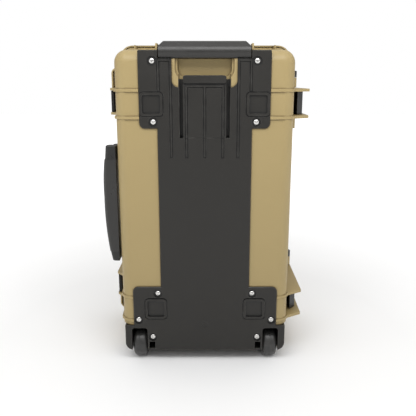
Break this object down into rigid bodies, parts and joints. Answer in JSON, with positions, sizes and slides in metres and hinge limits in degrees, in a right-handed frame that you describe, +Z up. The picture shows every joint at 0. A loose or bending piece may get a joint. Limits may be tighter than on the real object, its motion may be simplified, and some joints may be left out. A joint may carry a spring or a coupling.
{
  "type": "hard equipment case",
  "caption": "Hard carry-on equipment case with side-hinged lid, fold-out handles, telescoping trolley handle and wheels; protects gear in a sealed tub.",
  "frame": {"origin": "on the ground, under the middle of the standing case", "axes": "+Z up along the case's length, +Y from the trolley plate to the lid's front, +X towards the hinges"},
  "size_m": [0.3512, 0.229, 0.559],
  "materials": {
    "tan_shell": "desert tan injection-moulded polypropylene, fine satin grain",
    "black_plate": "charcoal moulded plastic, fine grain, satin",
    "black_moulding": "black glass-filled nylon, matt",
    "grip_black": "soft-touch black overmould, satin",
    "screw_steel": "bright stainless",
    "pin_steel": "ground stainless rod",
    "tube_aluminium": "clear anodised extrusion",
    "seal_rubber": "black neoprene seal",
    "wheel_tread": "dark polyurethane tread, satin",
    "hub_plastic": "black nylon hub"
  },
  "bodies": {
    "base": {"base_shell": "tan_shell", "trolley_plate": "black_plate", "plate_screws": "screw_steel", "housing_screws": "screw_steel", "outer_tube_left": "tube_aluminium", "outer_tube_right": "tube_aluminium", "tube_collar_left": "black_moulding", "tube_collar_right": "black_moulding", "tube_end_plug_left": "black_moulding", "tube_end_plug_right": "black_moulding", "wheel_axle_left": "pin_steel", "wheel_axle_right": "pin_steel", "hinge_block_upper": "black_moulding", "hinge_block_lower": "black_moulding", "hinge_pin_upper": "pin_steel", "hinge_pin_lower": "pin_steel", "hinge_cap_upper": "black_moulding", "hinge_cap_lower": "black_moulding", "latch_pin_upper": "pin_steel", "latch_pin_lower": "pin_steel", "base_eyelet_upper": "screw_steel", "base_eyelet_lower": "screw_steel", "side_handle_bracket_upper": "black_moulding", "side_handle_bracket_lower": "black_moulding", "side_handle_pins": "pin_steel", "top_handle_bracket_left": "black_moulding", "top_handle_bracket_right": "black_moulding", "top_handle_pins": "pin_steel"},
    "lid": {"lid_shell": "tan_shell", "lid_gasket": "seal_rubber", "lid_eyelet_upper": "screw_steel", "lid_eyelet_lower": "screw_steel", "valve_body": "black_moulding", "valve_seal": "seal_rubber", "valve_cap": "black_moulding"},
    "latch_upper": {"latch_arm_upper": "black_moulding", "lever_pin_upper": "pin_steel"},
    "lever_upper": {"latch_lever_upper": "black_moulding"},
    "latch_lower": {"latch_arm_lower": "black_moulding", "lever_pin_lower": "pin_steel"},
    "lever_lower": {"latch_lever_lower": "black_moulding"},
    "side_handle": {"side_handle_core": "black_moulding", "side_handle_sleeve": "grip_black"},
    "top_handle": {"top_handle_core": "black_moulding", "top_handle_sleeve": "grip_black"},
    "trolley": {"trolley_grip": "grip_black", "grip_screws": "screw_steel", "inner_tube_left": "tube_aluminium", "inner_tube_right": "tube_aluminium", "tube_slider_left": "black_moulding", "tube_slider_right": "black_moulding"},
    "release_tab": {"release_tab": "black_plate"},
    "wheel_left": {"wheel_tyre_left": "wheel_tread", "wheel_hub_left": "hub_plastic", "wheel_bearings_left": "pin_steel"},
    "wheel_right": {"wheel_tyre_right": "wheel_tread", "wheel_hub_right": "hub_plastic", "wheel_bearings_right": "pin_steel"}
  },
  "joints": [
    {"name": "lid_hinge", "type": "hinge", "parent": "base", "child": "lid", "pos_m": [0.168, 0.0586, 0.2799], "axis": [0, 0, -1], "range_deg": [0, 110]},
    {"name": "latch_upper_swing", "type": "hinge", "parent": "base", "child": "latch_upper", "pos_m": [-0.1646, 0.0275, 0.4573], "axis": [0, 0, 1], "range_deg": [0, 80]},
    {"name": "lever_upper_flip", "type": "hinge", "parent": "latch_upper", "child": "lever_upper", "pos_m": [-0.1716, 0.0635, 0.4573], "axis": [0, 0, -1], "range_deg": [0, 70]},
    {"name": "latch_lower_swing", "type": "hinge", "parent": "base", "child": "latch_lower", "pos_m": [-0.1646, 0.0275, 0.0985], "axis": [0, 0, 1], "range_deg": [0, 80]},
    {"name": "lever_lower_flip", "type": "hinge", "parent": "latch_lower", "child": "lever_lower", "pos_m": [-0.1716, 0.0635, 0.0985], "axis": [0, 0, -1], "range_deg": [0, 70]},
    {"name": "side_handle_swing", "type": "hinge", "parent": "base", "child": "side_handle", "pos_m": [-0.1602, -0.0195, 0.2848], "axis": [0, 0, -1], "range_deg": [0, 95]},
    {"name": "top_handle_swing", "type": "hinge", "parent": "base", "child": "top_handle", "pos_m": [0, 0.0135, 0.543], "axis": [-1, 0, 0], "range_deg": [0, 95]},
    {"name": "trolley_slide", "type": "slide", "parent": "base", "child": "trolley", "axis": [0, 0, 1], "range_m": [0, 0.4]},
    {"name": "release_tab_press", "type": "hinge", "parent": "base", "child": "release_tab", "pos_m": [0, -0.1118, 0.403], "axis": [-1, 0, 0], "range_deg": [0, 3.5], "stiffness_Nm_per_rad": 2},
    {"name": "wheel_left_roll", "type": "hinge", "parent": "base", "child": "wheel_left", "pos_m": [-0.1174, -0.0889, 0.025], "axis": [1, 0, 0], "continuous": true},
    {"name": "wheel_right_roll", "type": "hinge", "parent": "base", "child": "wheel_right", "pos_m": [0.1174, -0.0889, 0.025], "axis": [1, 0, 0], "continuous": true}
  ]
}
